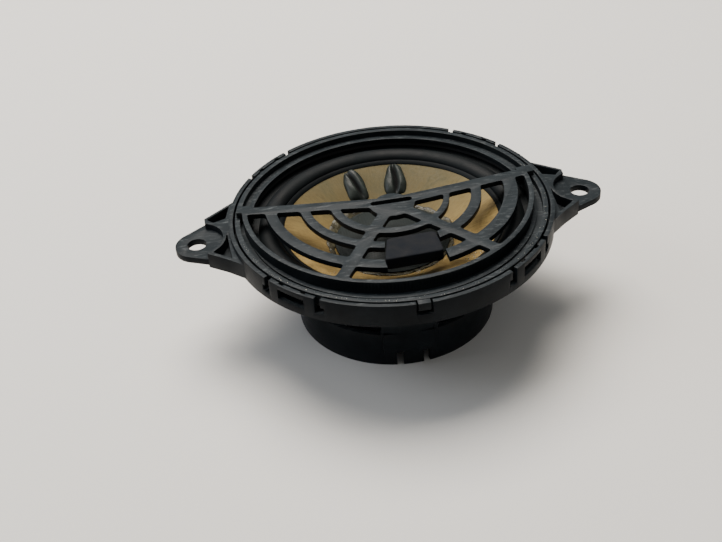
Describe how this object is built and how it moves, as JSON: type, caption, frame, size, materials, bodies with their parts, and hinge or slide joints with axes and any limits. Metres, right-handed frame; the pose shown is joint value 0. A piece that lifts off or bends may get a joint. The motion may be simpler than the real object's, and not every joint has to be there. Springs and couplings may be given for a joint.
{
  "type": "car dash speaker",
  "caption": "Round car dash speaker with two screw ears, half-open web grille, amber paper cone, rubber surround, spider, moving coil motor and rear terminals.",
  "frame": {"origin": "centre of the bounding box in plan, on the plane of the rear cup's rim, which the part stands on", "axes": "+Z along the cone's travel, out of the front; +X through the two mounting ears; -Y towards the side with the web"},
  "size_m": [0.1132, 0.0846, 0.0332],
  "materials": {
    "basket_plastic": "satin black glass-filled nylon",
    "grille_plastic": "satin black moulded",
    "block_foam": "matt closed-cell foam",
    "gasket_foam": "matt",
    "surround_rubber": "matt",
    "cone_paper": "amber resin-soaked fibre",
    "cap_cloth": "coated cloth",
    "lead_glue": "glossy",
    "steel": "zinc plated",
    "ferrite": "matt sintered",
    "copper": "enamelled wire",
    "former_film": "amber film",
    "spider_cloth": "resin-dipped cloth",
    "tinned_brass": "tinned",
    "tinsel": "braided",
    "vent_gauze": "woven"
  },
  "bodies": {
    "frame": {"basket": "basket_plastic", "front_grille": "grille_plastic", "damping_block": "block_foam", "surround_gasket": "gasket_foam", "rubber_surround": "surround_rubber", "yoke_and_pole": "steel", "ring_magnet": "ferrite", "top_plate": "steel", "vent_screen": "vent_gauze", "spider": "spider_cloth", "connector_housing": "basket_plastic", "terminal_blade_left": "tinned_brass", "terminal_blade_right": "tinned_brass", "tinsel_lead_left": "tinsel", "tinsel_lead_right": "tinsel"},
    "cone_assembly": {"paper_cone": "cone_paper", "dust_cap": "cap_cloth", "coil_former": "former_film", "voice_coil": "copper", "lead_dab_left": "lead_glue", "lead_dab_right": "lead_glue"}
  },
  "joints": [
    {"name": "cone_travel", "type": "slide", "parent": "frame", "child": "cone_assembly", "axis": [0, 0, 1], "range_m": [-0.0015, 0.0015], "stiffness_N_per_m": 1800, "deforming": ["rubber_surround", "spider", "tinsel_lead_left", "tinsel_lead_right"]}
  ]
}
